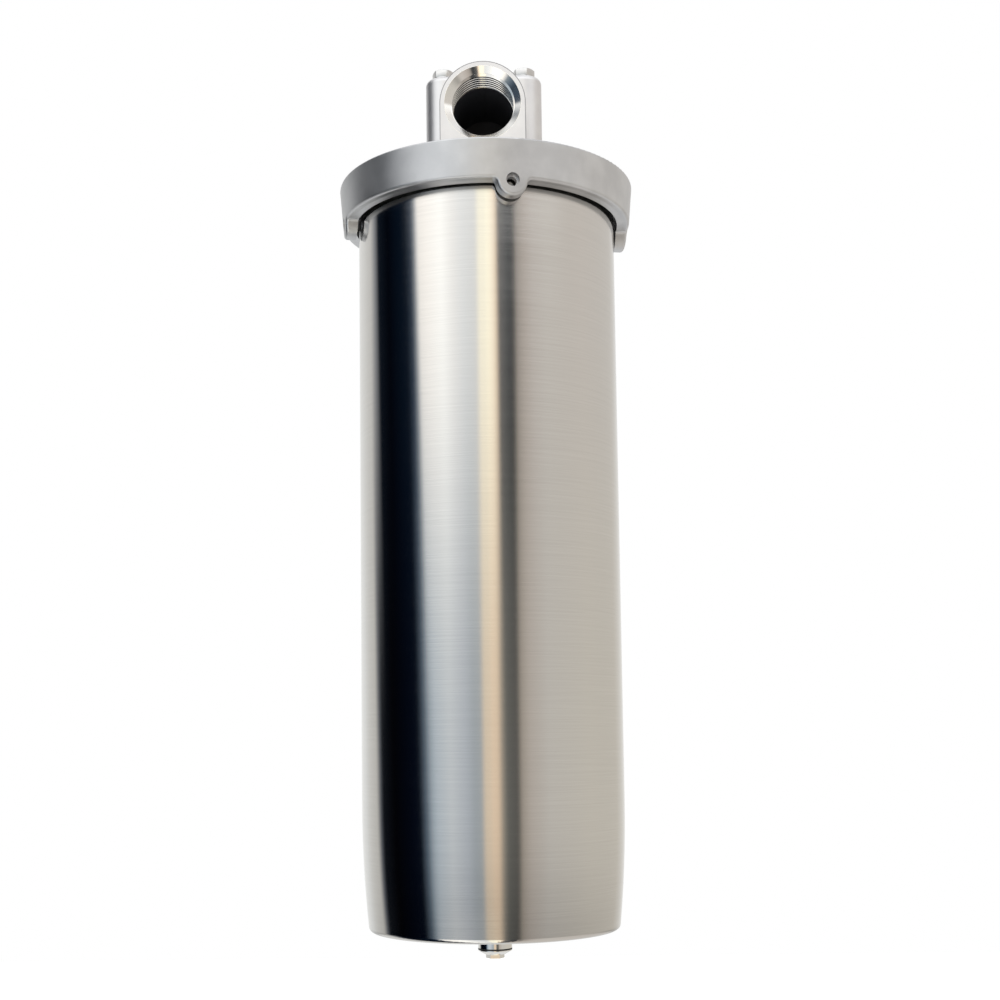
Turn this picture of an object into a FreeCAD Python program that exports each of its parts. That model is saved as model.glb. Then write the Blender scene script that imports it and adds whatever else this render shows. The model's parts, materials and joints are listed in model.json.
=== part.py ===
import FreeCAD, Part
import math
import os
import re

import Sketcher

# In-line bag filter housing. Millimetres, +Z up, origin on the axis at the tip of the drain plug.
# The inlet port faces -Y and the outlet port faces +Y.

SIZES = {
    # drain, from the tip upwards
    "nub_across": 8.0,
    "nub_height": 1.8,
    "plug_cone": 2.1,
    "plug_cone_width": 3.7,
    "plug_edge": 0.4,
    "plug_shank": 10.0,
    "gasket_thickness": 0.8,
    "socket_shoulder": 0.4,
    "socket_length": 9.4,
    "socket_neck_wall": 1.6,
    "drain_thread_radius": 6.55,
    "thread_clearance": 0.05,
    "weld_clearance": 0.05,
    # sump
    "sump_radius": 66.5,
    "sump_wall": 2.0,
    "sump_height": 370.5,
    "cap_height": 64.0,
    "cap_wall": 2.5,
    "cap_narrowing": 3.4,
    "cap_edge_radius": 2.5,
    "flange_width": 4.1,
    "flange_thickness": 4.0,
    # ring nut
    "slip_thickness": 1.0,
    "slip_clearance": 0.4,
    "lip_thickness": 4.5,
    "lip_clearance": 1.9,
    "lip_slope": 0.4,
    "ring_height": 19.8,
    "ring_foot_wall": 3.6,
    "ring_flare": 1.6,
    "ring_edge_radius": 1.5,
    "ring_brow_radius": 0.8,
    "lobe_radius": 7.5,
    "lobe_drop": 0.3,
    "lobe_root_radius": 2.5,
    "lobe_azimuth": 11.3,
    "lobe_count": 4,
    "spanner_radius": 3.25,
    "spanner_step_radius": 2.4,
    "thread_gap": 0.45,
    # head
    "face_gap": 0.3,
    "head_plate": 4.5,
    "chamber_step": 2.5,
    "spigot_wall": 4.5,
    "spigot_bore": 13.0,
    "spigot_seat": 2.0,
    "port_rise": 28.6,
    "port_reach": 49.0,
    "port_radius": 16.65,
    "port_thread": 17.0,
    "barrel_wall": 4.75,
    "mouth_flare": 2.35,
    "mouth_depth": 3.0,
    "passage_step": 1.35,
    "inlet_overrun": 10.0,
    "outlet_web": 5.0,
    "slot_width": 13.0,
    "slot_length": 30.0,
    "pad_reach": 29.7,
    "pad_half_length": 29.2,
    "pad_stand": 2.4,
    "pad_corner_radius": 9.0,
    "pad_edge_radius": 3.0,
    "recess_depth": 4.5,
    "recess_half_width": 13.0,
    "recess_edge": 9.0,
    "recess_corner_radius": 5.0,
    "pedestal_root_radius": 2.0,
    # bracket bolts
    "bolt_across_pitch": 41.4,
    "bolt_along_pitch": 40.0,
    "bolt_across": 10.0,
    "bolt_head": 4.0,
    "bolt_radius": 3.0,
    "bolt_length": 10.0,
    "bolt_hole_depth": 12.0,
    "bolt_washer_radius": 5.5,
    "bolt_washer_thickness": 1.0,
    # seals
    "head_seal_offset": 1.1,
    "head_seal_section": 1.75,
    "spigot_seal_section": 1.0,
    "spigot_seal_rise": 3.5,
    "seal_clearance": 0.05,
    # basket and bag
    "seat_drop": 17.0,
    "seat_thickness": 4.0,
    "seat_hole_radius": 3.6,
    "seat_hole_count": 16,
    "annulus_width": 12.5,
    "basket_sheet": 1.2,
    "basket_floor_gap": 16.0,
    "basket_clearance": 0.4,
    "basket_rim_width": 2.3,
    "basket_rim_thickness": 3.0,
    "basket_floor": 1.5,
    "basket_hole_radius": 4.5,
    "basket_hole_columns": 10,
    "basket_hole_rows": 8,
    "basket_hole_margin": 22.0,
    "floor_hole_circle": 30.0,
    "floor_hole_count": 8,
    "bag_wall": 2.0,
    "bag_clearance": 0.3,
    "bag_edge_radius": 8.0,
    "bag_ring_wall": 2.7,
    "bag_ring_flange": 3.0,
    "bag_ring_skirt": 6.0,
    "cover_thickness": 3.0,
    "hub_wall": 3.5,
    "hub_height": 6.0,
}

# Levels along the axis, each worked out from the sizes below it.
PLUG_TOP = "(nub_height + plug_cone + plug_edge)"
SOCKET_FOOT = f"({PLUG_TOP} + gasket_thickness)"
SUMP_FOOT = f"({SOCKET_FOOT} + socket_length)"
CAP_TOP = f"({SUMP_FOOT} + cap_height)"
SUMP_TOP = f"({SUMP_FOOT} + sump_height)"
FLANGE_FOOT = f"({SUMP_TOP} - flange_thickness)"
SLIP_FOOT = f"({FLANGE_FOOT} - slip_thickness)"
RING_FOOT = f"({SLIP_FOOT} - lip_thickness)"
RING_TOP = f"({RING_FOOT} + ring_height)"
RING_EDGE = f"({RING_FOOT} + lip_slope)"
LOBE_LEVEL = f"({RING_FOOT} - lobe_drop)"
LOBE_FOOT = f"({LOBE_LEVEL} - lobe_radius)"
HEAD_FACE = f"({SUMP_TOP} + face_gap)"
CHAMBER_TOP = f"({RING_TOP} - head_plate)"
PORT_LEVEL = f"({RING_TOP} + port_rise)"
BARREL_RADIUS = "(port_radius + barrel_wall)"
PAD_TOP = f"({PORT_LEVEL} + {BARREL_RADIUS} + pad_stand)"
SEAT_TOP = f"({SUMP_TOP} - seat_drop)"
BASKET_TOP = f"({SEAT_TOP} + basket_rim_thickness)"
BASKET_FOOT = f"({SUMP_FOOT} + cap_wall + basket_floor_gap)"
FLOOR_TOP = f"({BASKET_FOOT} + basket_floor)"
COVER_FOOT = f"({BASKET_TOP} + bag_ring_flange)"
COVER_TOP = f"({COVER_FOOT} + cover_thickness)"
SPIGOT_FOOT = f"({COVER_FOOT} + spigot_seat)"

# Radii shared by pieces that fit each other, from the sump's wall outwards and inwards.
SUMP_BORE = "(sump_radius - sump_wall)"
FLANGE_RADIUS = "(sump_radius + flange_width)"
THREAD_RADIUS = f"({FLANGE_RADIUS} + thread_gap)"
LIP_BORE = "(sump_radius + lip_clearance)"
RING_BORE = f"({THREAD_RADIUS} + thread_clearance)"
RING_EDGE_RADIUS = f"({RING_BORE} + ring_foot_wall)"
RING_TOP_RADIUS = f"({RING_EDGE_RADIUS} + ring_flare)"
RING_SLOPE = f"(ring_flare / ({RING_TOP} - {RING_EDGE}))"
CHAMBER_RADIUS = f"({SUMP_BORE} - chamber_step)"
HEAD_SEAL_RADIUS = "(sump_radius + head_seal_offset)"
SPIGOT_RADIUS = "(spigot_bore + spigot_wall)"
HUB_BORE = f"({SPIGOT_RADIUS} + thread_clearance)"
MOUTH_RADIUS = "(port_radius + mouth_flare)"
PASSAGE_RADIUS = "(port_radius - passage_step)"
BASKET_RADIUS = f"({SUMP_BORE} - annulus_width)"
BASKET_BORE = f"({BASKET_RADIUS} - basket_sheet)"
RIM_RADIUS = f"({BASKET_RADIUS} + basket_rim_width)"
SEAT_HOLE_CIRCLE = f"(({RIM_RADIUS} + {SUMP_BORE}) / 2)"
BAG_RADIUS = f"({BASKET_BORE} - bag_clearance)"
BAG_BORE = f"({BAG_RADIUS} - bag_wall)"
COLLAR_RADIUS = f"({BAG_BORE} - bag_clearance)"
COLLAR_BORE = f"({COLLAR_RADIUS} - bag_ring_wall)"
DRAIN_BORE = "(drain_thread_radius + thread_clearance)"
NECK_RADIUS = f"({DRAIN_BORE} + socket_neck_wall)"
SOCKET_RADIUS = f"({NECK_RADIUS} + socket_shoulder)"


def bound(text):
    """Point every size name of an expression at the sheet."""
    return re.sub(r"[a-z]+(_[a-z]+)+", r"Sizes.\g<0>", text)


def make_sheet(doc):
    sheet = doc.addObject("Spreadsheet::Sheet", "Sizes")
    for row, (name, value) in enumerate(SIZES.items(), start=1):
        sheet.set(f"A{row}", name)
        sheet.set(f"B{row}", str(value))
        sheet.setAlias(f"B{row}", name)
    doc.recompute()
    return sheet


doc = FreeCAD.newDocument("BagFilterHousing")
sheet = make_sheet(doc)


def value_of(text):
    return float(sheet.evalExpression(bound(text)))


def new_body(label):
    body = doc.addObject("PartDesign::Body", label)
    body.Label = label
    return body


def new_sketch(body, name, plane, level=None):
    """Start a sketch on one of the body's own planes, raised by level along that plane's normal."""
    sketch = body.newObject("Sketcher::SketchObject", name)
    support = [one for one in body.Origin.OriginFeatures if one.Role == plane]
    sketch.AttachmentSupport = [(support[0], "")]
    sketch.MapMode = "FlatFace"
    if level:
        sketch.setExpression("AttachmentOffset.Base.z", bound(level))
    return sketch


def hold_point(sketch, item, end, across, up):
    """Fix a point of the sketch at two expressions measured from the sketch's origin."""
    for kind, text, axis in (("DistanceX", across, -2), ("DistanceY", up, -1)):
        if text == "0":
            sketch.addConstraint(Sketcher.Constraint("PointOnObject", item, end, axis))
        else:
            index = sketch.addConstraint(Sketcher.Constraint(kind, -1, 1, item, end, value_of(text)))
            sketch.setExpression(f"Constraints[{index}]", bound(text))


def draw_outline(sketch, corners):
    """Draw a closed outline with straight sides through corners given as expressions."""
    points = [FreeCAD.Vector(value_of(across), value_of(up), 0) for across, up in corners]
    first = sketch.GeometryCount
    count = len(points)
    for step in range(count):
        sketch.addGeometry(Part.LineSegment(points[step], points[(step + 1) % count]), False)
    for step in range(count):
        following = first + (step + 1) % count
        sketch.addConstraint(Sketcher.Constraint("Coincident", first + step, 2, following, 1))
    for step, (across, up) in enumerate(corners):
        hold_point(sketch, first + step, 1, across, up)


def draw_circle(sketch, across, up, radius):
    centre = FreeCAD.Vector(value_of(across), value_of(up), 0)
    circle = Part.Circle(centre, FreeCAD.Vector(0, 0, 1), value_of(radius))
    item = sketch.addGeometry(circle, False)
    hold_point(sketch, item, 3, across, up)
    index = sketch.addConstraint(Sketcher.Constraint("Radius", item, value_of(radius)))
    sketch.setExpression(f"Constraints[{index}]", bound(radius))


def draw_slot(sketch, up, half_length, radius):
    """Draw an obround that is centred on the sketch's vertical axis."""
    level = value_of(up)
    reach = value_of(half_length)
    bend = value_of(radius)
    left = FreeCAD.Vector(-reach, level, 0)
    right = FreeCAD.Vector(reach, level, 0)
    normal = FreeCAD.Vector(0, 0, 1)
    quarter = math.pi / 2
    rise = FreeCAD.Vector(0, bend, 0)
    cap_right = sketch.addGeometry(Part.ArcOfCircle(Part.Circle(right, normal, bend), -quarter, quarter))
    top = sketch.addGeometry(Part.LineSegment(right + rise, left + rise))
    cap_left = sketch.addGeometry(Part.ArcOfCircle(Part.Circle(left, normal, bend), quarter, 3 * quarter))
    foot = sketch.addGeometry(Part.LineSegment(left - rise, right - rise))
    for item, end, other, other_end in (
        (cap_right, 2, top, 1),
        (top, 2, cap_left, 1),
        (cap_left, 2, foot, 1),
        (foot, 2, cap_right, 1),
    ):
        sketch.addConstraint(Sketcher.Constraint("Tangent", item, end, other, other_end))
    hold_point(sketch, cap_right, 3, half_length, up)
    hold_point(sketch, cap_left, 3, f"-{half_length}", up)
    index = sketch.addConstraint(Sketcher.Constraint("Radius", cap_right, bend))
    sketch.setExpression(f"Constraints[{index}]", bound(radius))


def draw_rounded_box(sketch, half_width, foot, top, radius):
    """Draw a rectangle with round corners that is centred on the sketch's vertical axis."""
    reach = value_of(half_width)
    low = value_of(foot)
    high = value_of(top)
    bend = value_of(radius)
    normal = FreeCAD.Vector(0, 0, 1)
    quarter = math.pi / 2
    corners = (
        (reach - bend, high - bend, 0, f"{half_width} - {radius}", f"{top} - {radius}"),
        (bend - reach, high - bend, quarter, f"{radius} - {half_width}", f"{top} - {radius}"),
        (bend - reach, low + bend, 2 * quarter, f"{radius} - {half_width}", f"{foot} + {radius}"),
        (reach - bend, low + bend, 3 * quarter, f"{half_width} - {radius}", f"{foot} + {radius}"),
    )
    arcs = []
    for across, up, start, across_text, up_text in corners:
        circle = Part.Circle(FreeCAD.Vector(across, up, 0), normal, bend)
        arcs.append(sketch.addGeometry(Part.ArcOfCircle(circle, start, start + quarter)))
    ends = [(sketch.Geometry[item].StartPoint, sketch.Geometry[item].EndPoint) for item in arcs]
    for step in range(4):
        following = (step + 1) % 4
        side = sketch.addGeometry(Part.LineSegment(ends[step][1], ends[following][0]))
        sketch.addConstraint(Sketcher.Constraint("Tangent", arcs[step], 2, side, 1))
        sketch.addConstraint(Sketcher.Constraint("Tangent", side, 2, arcs[following], 1))
    for item, (across, up, start, across_text, up_text) in zip(arcs, corners):
        hold_point(sketch, item, 3, across_text, up_text)
        index = sketch.addConstraint(Sketcher.Constraint("Radius", item, bend))
        sketch.setExpression(f"Constraints[{index}]", bound(radius))


def turn(body, name, corners, kind="PartDesign::Revolution"):
    """Turn an outline, drawn as radius and height, about the body's vertical axis."""
    sketch = new_sketch(body, name + "Profile", "XZ_Plane")
    draw_outline(sketch, corners)
    feature = body.newObject(kind, name)
    feature.Profile = sketch
    feature.ReferenceAxis = (sketch, ["V_Axis"])
    feature.Angle = 360
    doc.recompute()
    return feature


def extrude(body, name, sketch, length, kind="PartDesign::Pad", reverse=False, both=False):
    feature = body.newObject(kind, name)
    feature.Profile = sketch
    feature.setExpression("Length", bound(length))
    feature.Reversed = reverse
    if both:
        feature.SideType = "Symmetric"
    doc.recompute()
    return feature


def pattern_round(body, name, originals, count):
    """Repeat features round the vertical axis."""
    pattern = body.newObject("PartDesign::PolarPattern", name)
    pattern.Originals = originals
    axis = [one for one in body.Origin.OriginFeatures if one.Role == "Z_Axis"]
    pattern.Axis = (axis[0], [""])
    pattern.Angle = 360
    pattern.setExpression("Occurrences", bound(count))
    body.Tip = pattern
    doc.recompute()
    return pattern


def round_edges(body, name, chosen, radius):
    """Fillet the edges of the body's present shape that a test picks out."""
    base = body.Tip
    names = [f"Edge{number}" for number, edge in enumerate(base.Shape.Edges, start=1) if chosen(edge)]
    feature = body.newObject("PartDesign::Fillet", name)
    feature.Base = (base, names)
    feature.setExpression("Radius", bound(radius))
    body.Tip = feature
    doc.recompute()
    return feature


def is_level(edge, level):
    """Tell whether an edge lies flat at this height."""
    box = edge.BoundBox
    height = value_of(level)
    return abs(box.ZMin - height) < 0.01 and abs(box.ZMax - height) < 0.01


def is_ring(edge, radius, level):
    """Tell whether an edge is a circle about a vertical axis with this radius at this height."""
    curve = edge.Curve
    if not isinstance(curve, Part.Circle) or abs(abs(curve.Axis.z) - 1) > 0.001:
        return False
    return abs(curve.Radius - value_of(radius)) < 0.01 and abs(curve.Center.z - value_of(level)) < 0.01


def plain_ring(label, bore, radius, foot, top):
    """A turned ring with a rectangular section."""
    body = new_body(label)
    turn(body, "Ring", [(bore, foot), (radius, foot), (radius, top), (bore, top)])
    return body


def seal(label, radius, section, level):
    """An O-ring."""
    ring = doc.addObject("Part::Torus", label)
    ring.Label = label
    ring.setExpression("Radius1", bound(radius))
    ring.setExpression("Radius2", bound(section))
    ring.setExpression("Placement.Base.z", bound(level))
    return ring


def head_casting():
    body = new_body("head_casting")
    turn(body, "Disc", [
        ("0", SPIGOT_FOOT),
        (SPIGOT_RADIUS, SPIGOT_FOOT),
        (SPIGOT_RADIUS, CHAMBER_TOP),
        (CHAMBER_RADIUS, CHAMBER_TOP),
        (CHAMBER_RADIUS, HEAD_FACE),
        (THREAD_RADIUS, HEAD_FACE),
        (THREAD_RADIUS, RING_TOP),
        ("0", RING_TOP),
    ])
    block_foot = f"({RING_TOP} - head_plate / 2)"
    block = new_sketch(body, "BlockProfile", "XY_Plane", block_foot)
    draw_rounded_box(block, "pad_reach", "-pad_half_length", "pad_half_length", "pad_corner_radius")
    extrude(body, "Block", block, f"{PAD_TOP} - {block_foot}")
    round_edges(body, "PadEdge", lambda edge: is_level(edge, PAD_TOP), "pad_edge_radius")
    barrel = new_sketch(body, "BarrelProfile", "XZ_Plane")
    draw_circle(barrel, "0", PORT_LEVEL, BARREL_RADIUS)
    extrude(body, "Barrel", barrel, "2 * port_reach", both=True)
    pedestal = new_sketch(body, "PedestalProfile", "XZ_Plane")
    draw_outline(pedestal, [
        (f"-{BARREL_RADIUS}", block_foot),
        (BARREL_RADIUS, block_foot),
        (BARREL_RADIUS, PORT_LEVEL),
        (f"-{BARREL_RADIUS}", PORT_LEVEL),
    ])
    extrude(body, "Pedestal", pedestal, "2 * port_reach", both=True)
    round_edges(body, "Root", is_head_root, "pedestal_root_radius")
    cut_side_recesses(body)
    cut_port(body, "Inlet", "-", "inlet_overrun")
    cut_port(body, "Outlet", "", "(spigot_bore + outlet_web)")
    cut_galleries(body)
    cut_seal_grooves(body)
    holes = new_sketch(body, "BoltHoleProfile", "XY_Plane", PAD_TOP)
    for side_x, side_y in (("-", "-"), ("", "-"), ("-", ""), ("", "")):
        across = f"{side_x}bolt_across_pitch / 2"
        along = f"{side_y}bolt_along_pitch / 2"
        draw_circle(holes, across, along, "bolt_radius + thread_clearance")
    extrude(body, "BoltHoles", holes, "bolt_hole_depth", "PartDesign::Pocket")
    return body


def is_head_root(edge):
    """Tell whether an edge is where the block or the pedestal stands on the head's flat top."""
    return is_level(edge, RING_TOP) and not is_ring(edge, THREAD_RADIUS, RING_TOP)


def cut_side_recesses(body):
    """Lighten the block's two plain sides between their bolt columns."""
    foot = f"({RING_TOP} + recess_edge)"
    top = f"({PAD_TOP} - recess_edge)"
    for name, side, reverse in (("LeftRecess", "-", True), ("RightRecess", "", False)):
        sketch = new_sketch(body, name + "Profile", "YZ_Plane", f"{side}pad_reach")
        draw_rounded_box(sketch, "recess_half_width", foot, top, "recess_corner_radius")
        extrude(body, name, sketch, "recess_depth", "PartDesign::Pocket", reverse=reverse)


def cut_port(body, name, side, end):
    """Bore a port from its mouth inwards: countersunk mouth, thread length, then a plain passage."""
    sketch = new_sketch(body, name + "Profile", "YZ_Plane")
    mouth = f"{side}(port_reach + 1)"
    thread_end = f"{side}(port_reach - port_thread)"
    draw_outline(sketch, [
        (mouth, PORT_LEVEL),
        (mouth, f"{PORT_LEVEL} + {MOUTH_RADIUS}"),
        (f"{side}port_reach", f"{PORT_LEVEL} + {MOUTH_RADIUS}"),
        (f"{side}(port_reach - mouth_depth)", f"{PORT_LEVEL} + port_radius"),
        (thread_end, f"{PORT_LEVEL} + port_radius"),
        (thread_end, f"{PORT_LEVEL} + {PASSAGE_RADIUS}"),
        (end, f"{PORT_LEVEL} + {PASSAGE_RADIUS}"),
        (end, PORT_LEVEL),
    ])
    start = FreeCAD.Vector(value_of(mouth), value_of(PORT_LEVEL), 0)
    finish = FreeCAD.Vector(value_of(end), value_of(PORT_LEVEL), 0)
    centre = sketch.addGeometry(Part.LineSegment(start, finish), True)
    sketch.addConstraint(Sketcher.Constraint("Coincident", centre, 1, 0, 1))
    sketch.addConstraint(Sketcher.Constraint("Coincident", centre, 2, 7, 1))
    groove = body.newObject("PartDesign::Groove", name)
    groove.Profile = sketch
    groove.ReferenceAxis = (sketch, ["Axis0"])
    groove.Angle = 360
    doc.recompute()


def cut_galleries(body):
    """Open the spigot up to the inlet and the ring chamber up to the outlet."""
    spigot = new_sketch(body, "SpigotBoreProfile", "XY_Plane", SPIGOT_FOOT)
    draw_circle(spigot, "0", "0", "spigot_bore")
    extrude(body, "SpigotBore", spigot, f"{PORT_LEVEL} - {SPIGOT_FOOT}", "PartDesign::Pocket", reverse=True)
    slot = new_sketch(body, "OutletSlotProfile", "XY_Plane", CHAMBER_TOP)
    slot_level = "spigot_bore + outlet_web + slot_width / 2"
    draw_slot(slot, slot_level, "(slot_length - slot_width) / 2", "slot_width / 2")
    extrude(body, "OutletSlot", slot, f"{PORT_LEVEL} - {CHAMBER_TOP}", "PartDesign::Pocket", reverse=True)


def cut_seal_grooves(body):
    """Cut the face groove for the head seal and the groove round the spigot."""
    half = "(head_seal_section + seal_clearance)"
    top = f"({HEAD_FACE} + 2 * head_seal_section - face_gap + 2 * seal_clearance)"
    turn(body, "FaceGroove", [
        (f"{HEAD_SEAL_RADIUS} - {half}", f"{HEAD_FACE} - head_plate"),
        (f"{HEAD_SEAL_RADIUS} + {half}", f"{HEAD_FACE} - head_plate"),
        (f"{HEAD_SEAL_RADIUS} + {half}", top),
        (f"{HEAD_SEAL_RADIUS} - {half}", top),
    ], "PartDesign::Groove")
    level = f"({SPIGOT_FOOT} + spigot_seal_rise)"
    reach = "(spigot_seal_section + seal_clearance)"
    turn(body, "SpigotGroove", [
        (f"{SPIGOT_RADIUS} - 2 * {reach}", f"{level} - {reach}"),
        (f"{SPIGOT_RADIUS} + {reach}", f"{level} - {reach}"),
        (f"{SPIGOT_RADIUS} + {reach}", f"{level} + {reach}"),
        (f"{SPIGOT_RADIUS} - 2 * {reach}", f"{level} + {reach}"),
    ], "PartDesign::Groove")


def bracket_bolt(label, across, along):
    """A hexagon bolt as a fused head and shank, seated on its washer."""
    head = doc.addObject("Part::Prism", label + "_hexagon")
    head.Polygon = 6
    head.setExpression("Circumradius", bound("bolt_across / sqrt(3)"))
    head.setExpression("Height", bound("bolt_head"))
    shank = doc.addObject("Part::Cylinder", label + "_shank")
    shank.setExpression("Radius", bound("bolt_radius"))
    shank.setExpression("Height", bound("bolt_length + bolt_washer_thickness"))
    shank.setExpression("Placement.Base.z", bound("-(bolt_length + bolt_washer_thickness)"))
    bolt = doc.addObject("Part::Fuse", label)
    bolt.Label = label
    bolt.Base = head
    bolt.Tool = shank
    bolt.setExpression("Placement.Base.x", bound(across))
    bolt.setExpression("Placement.Base.y", bound(along))
    bolt.setExpression("Placement.Base.z", bound(f"{PAD_TOP} + bolt_washer_thickness"))
    return bolt


def bracket_washer(label, across, along):
    disc = doc.addObject("Part::Cylinder", label + "_disc")
    disc.setExpression("Radius", bound("bolt_washer_radius"))
    disc.setExpression("Height", bound("bolt_washer_thickness"))
    hole = doc.addObject("Part::Cylinder", label + "_hole")
    hole.setExpression("Radius", bound("bolt_radius + 2 * thread_clearance"))
    hole.setExpression("Height", bound("bolt_washer_thickness"))
    washer = doc.addObject("Part::Cut", label)
    washer.Label = label
    washer.Base = disc
    washer.Tool = hole
    washer.setExpression("Placement.Base.x", bound(across))
    washer.setExpression("Placement.Base.y", bound(along))
    washer.setExpression("Placement.Base.z", bound(PAD_TOP))
    return washer


def ring_nut():
    """Cast ring: a flared blank with radial lobes, trimmed to the flare, then bored and drilled."""
    body = new_body("ring_nut")
    turn(body, "Blank", [
        ("0", RING_FOOT),
        (LIP_BORE, RING_FOOT),
        (RING_BORE, RING_EDGE),
        (RING_EDGE_RADIUS, RING_EDGE),
        (RING_TOP_RADIUS, RING_TOP),
        ("0", RING_TOP),
    ])
    sketch = new_sketch(body, "LobeProfile", "XZ_Plane")
    draw_lobe(sketch)
    lobe = extrude(body, "Lobe", sketch, f"{RING_TOP_RADIUS} + ring_flare")
    pattern_round(body, "Lobes", [lobe], "lobe_count")
    trim_foot = f"({LOBE_FOOT} - lobe_radius)"
    trim_top = f"({RING_TOP} + lobe_radius)"
    trim_reach = f"({RING_TOP_RADIUS} + lobe_radius)"
    turn(body, "Flare", [
        (f"{RING_EDGE_RADIUS} - {RING_SLOPE} * ({RING_EDGE} - {trim_foot})", trim_foot),
        (trim_reach, trim_foot),
        (trim_reach, trim_top),
        (f"{RING_TOP_RADIUS} + {RING_SLOPE} * lobe_radius", trim_top),
    ], "PartDesign::Groove")
    turn(body, "Bore", [
        ("0", trim_foot),
        (LIP_BORE, trim_foot),
        (LIP_BORE, SLIP_FOOT),
        (RING_BORE, SLIP_FOOT),
        (RING_BORE, trim_top),
        ("0", trim_top),
    ], "PartDesign::Groove")
    round_edges(body, "FootEdge", is_outer_foot, "ring_edge_radius")
    round_edges(body, "Brow", lambda edge: is_ring(edge, RING_TOP_RADIUS, RING_TOP), "ring_brow_radius")
    step = new_sketch(body, "SpannerStepProfile", "XZ_Plane")
    draw_circle(step, "0", LOBE_LEVEL, "spanner_step_radius")
    through = extrude(body, "SpannerStep", step, trim_reach, "PartDesign::Pocket", reverse=True)
    mouth = new_sketch(body, "SpannerMouthProfile", "XZ_Plane", RING_BORE)
    draw_circle(mouth, "0", LOBE_LEVEL, "spanner_radius")
    wide = extrude(body, "SpannerMouth", mouth, trim_reach, "PartDesign::Pocket", reverse=True)
    pattern_round(body, "SpannerHoles", [through, wide], "lobe_count")
    body.setExpression("Placement.Rotation.Angle", bound("lobe_azimuth"))
    return body


def is_outer_foot(edge):
    """Tell whether an edge runs along the foot of the ring's flared outer face, lobes included."""
    slope = value_of(RING_SLOPE)
    level = value_of(RING_EDGE)
    radius = value_of(RING_EDGE_RADIUS)
    for point in edge.discretize(5):
        if point.z > level + 0.01:
            return False
        if abs(math.hypot(point.x, point.y) - radius - slope * (point.z - level)) > 0.02:
            return False
    return True


def draw_lobe(sketch):
    """Draw a hanging lobe: a round end, and a hollow root each side that runs out on the ring's edge."""
    level = value_of(LOBE_LEVEL)
    foot = value_of(RING_EDGE)
    crown = value_of(SLIP_FOOT)
    end_radius = value_of("lobe_radius")
    root_radius = value_of("lobe_root_radius")
    span = end_radius + root_radius
    drop = level - foot + root_radius
    spread = math.sqrt(span ** 2 - drop ** 2)
    meet_angle = math.atan2(-drop, spread)
    normal = FreeCAD.Vector(0, 0, 1)
    end_circle = Part.Circle(FreeCAD.Vector(0, level, 0), normal, end_radius)
    end = sketch.addGeometry(Part.ArcOfCircle(end_circle, -math.pi - meet_angle, meet_angle))
    right_circle = Part.Circle(FreeCAD.Vector(spread, foot - root_radius, 0), normal, root_radius)
    right = sketch.addGeometry(Part.ArcOfCircle(right_circle, math.pi / 2, math.pi + meet_angle))
    left_circle = Part.Circle(FreeCAD.Vector(-spread, foot - root_radius, 0), normal, root_radius)
    left = sketch.addGeometry(Part.ArcOfCircle(left_circle, -meet_angle, math.pi / 2))
    corners = [(spread, foot), (spread, crown), (-spread, crown), (-spread, foot)]
    points = [FreeCAD.Vector(across, up, 0) for across, up in corners]
    rise = sketch.addGeometry(Part.LineSegment(points[0], points[1]))
    top = sketch.addGeometry(Part.LineSegment(points[1], points[2]))
    fall = sketch.addGeometry(Part.LineSegment(points[2], points[3]))
    for kind, item, item_end, other, other_end in (
        ("Tangent", end, 2, right, 2),
        ("Tangent", end, 1, left, 1),
        ("Perpendicular", right, 1, rise, 1),
        ("Perpendicular", left, 2, fall, 2),
        ("Coincident", rise, 2, top, 1),
        ("Coincident", top, 2, fall, 1),
    ):
        sketch.addConstraint(Sketcher.Constraint(kind, item, item_end, other, other_end))
    sketch.addConstraint(Sketcher.Constraint("Vertical", rise))
    sketch.addConstraint(Sketcher.Constraint("Horizontal", top))
    sketch.addConstraint(Sketcher.Constraint("Vertical", fall))
    hold_point(sketch, end, 3, "0", LOBE_LEVEL)
    for item, radius in ((end, "lobe_radius"), (right, "lobe_root_radius"), (left, "lobe_root_radius")):
        index = sketch.addConstraint(Sketcher.Constraint("Radius", item, value_of(radius)))
        sketch.setExpression(f"Constraints[{index}]", bound(radius))
    for item, item_end, text in ((rise, 1, RING_EDGE), (fall, 2, RING_EDGE), (top, 1, SLIP_FOOT)):
        index = sketch.addConstraint(Sketcher.Constraint("DistanceY", -1, 1, item, item_end, value_of(text)))
        sketch.setExpression(f"Constraints[{index}]", bound(text))


def sump_end_cap():
    """Drawn cup whose wall curves in towards its foot, with a hole for the drain socket."""
    body = new_body("sump_end_cap")
    sketch = new_sketch(body, "CupProfile", "XZ_Plane")
    draw_cup(sketch)
    cup = body.newObject("PartDesign::Revolution", "Cup")
    cup.Profile = sketch
    cup.ReferenceAxis = (sketch, ["V_Axis"])
    cup.Angle = 360
    doc.recompute()
    foot_radius = "(sump_radius - cap_narrowing)"
    round_edges(body, "Edge", lambda edge: is_ring(edge, foot_radius, SUMP_FOOT), "cap_edge_radius")
    return body


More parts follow.
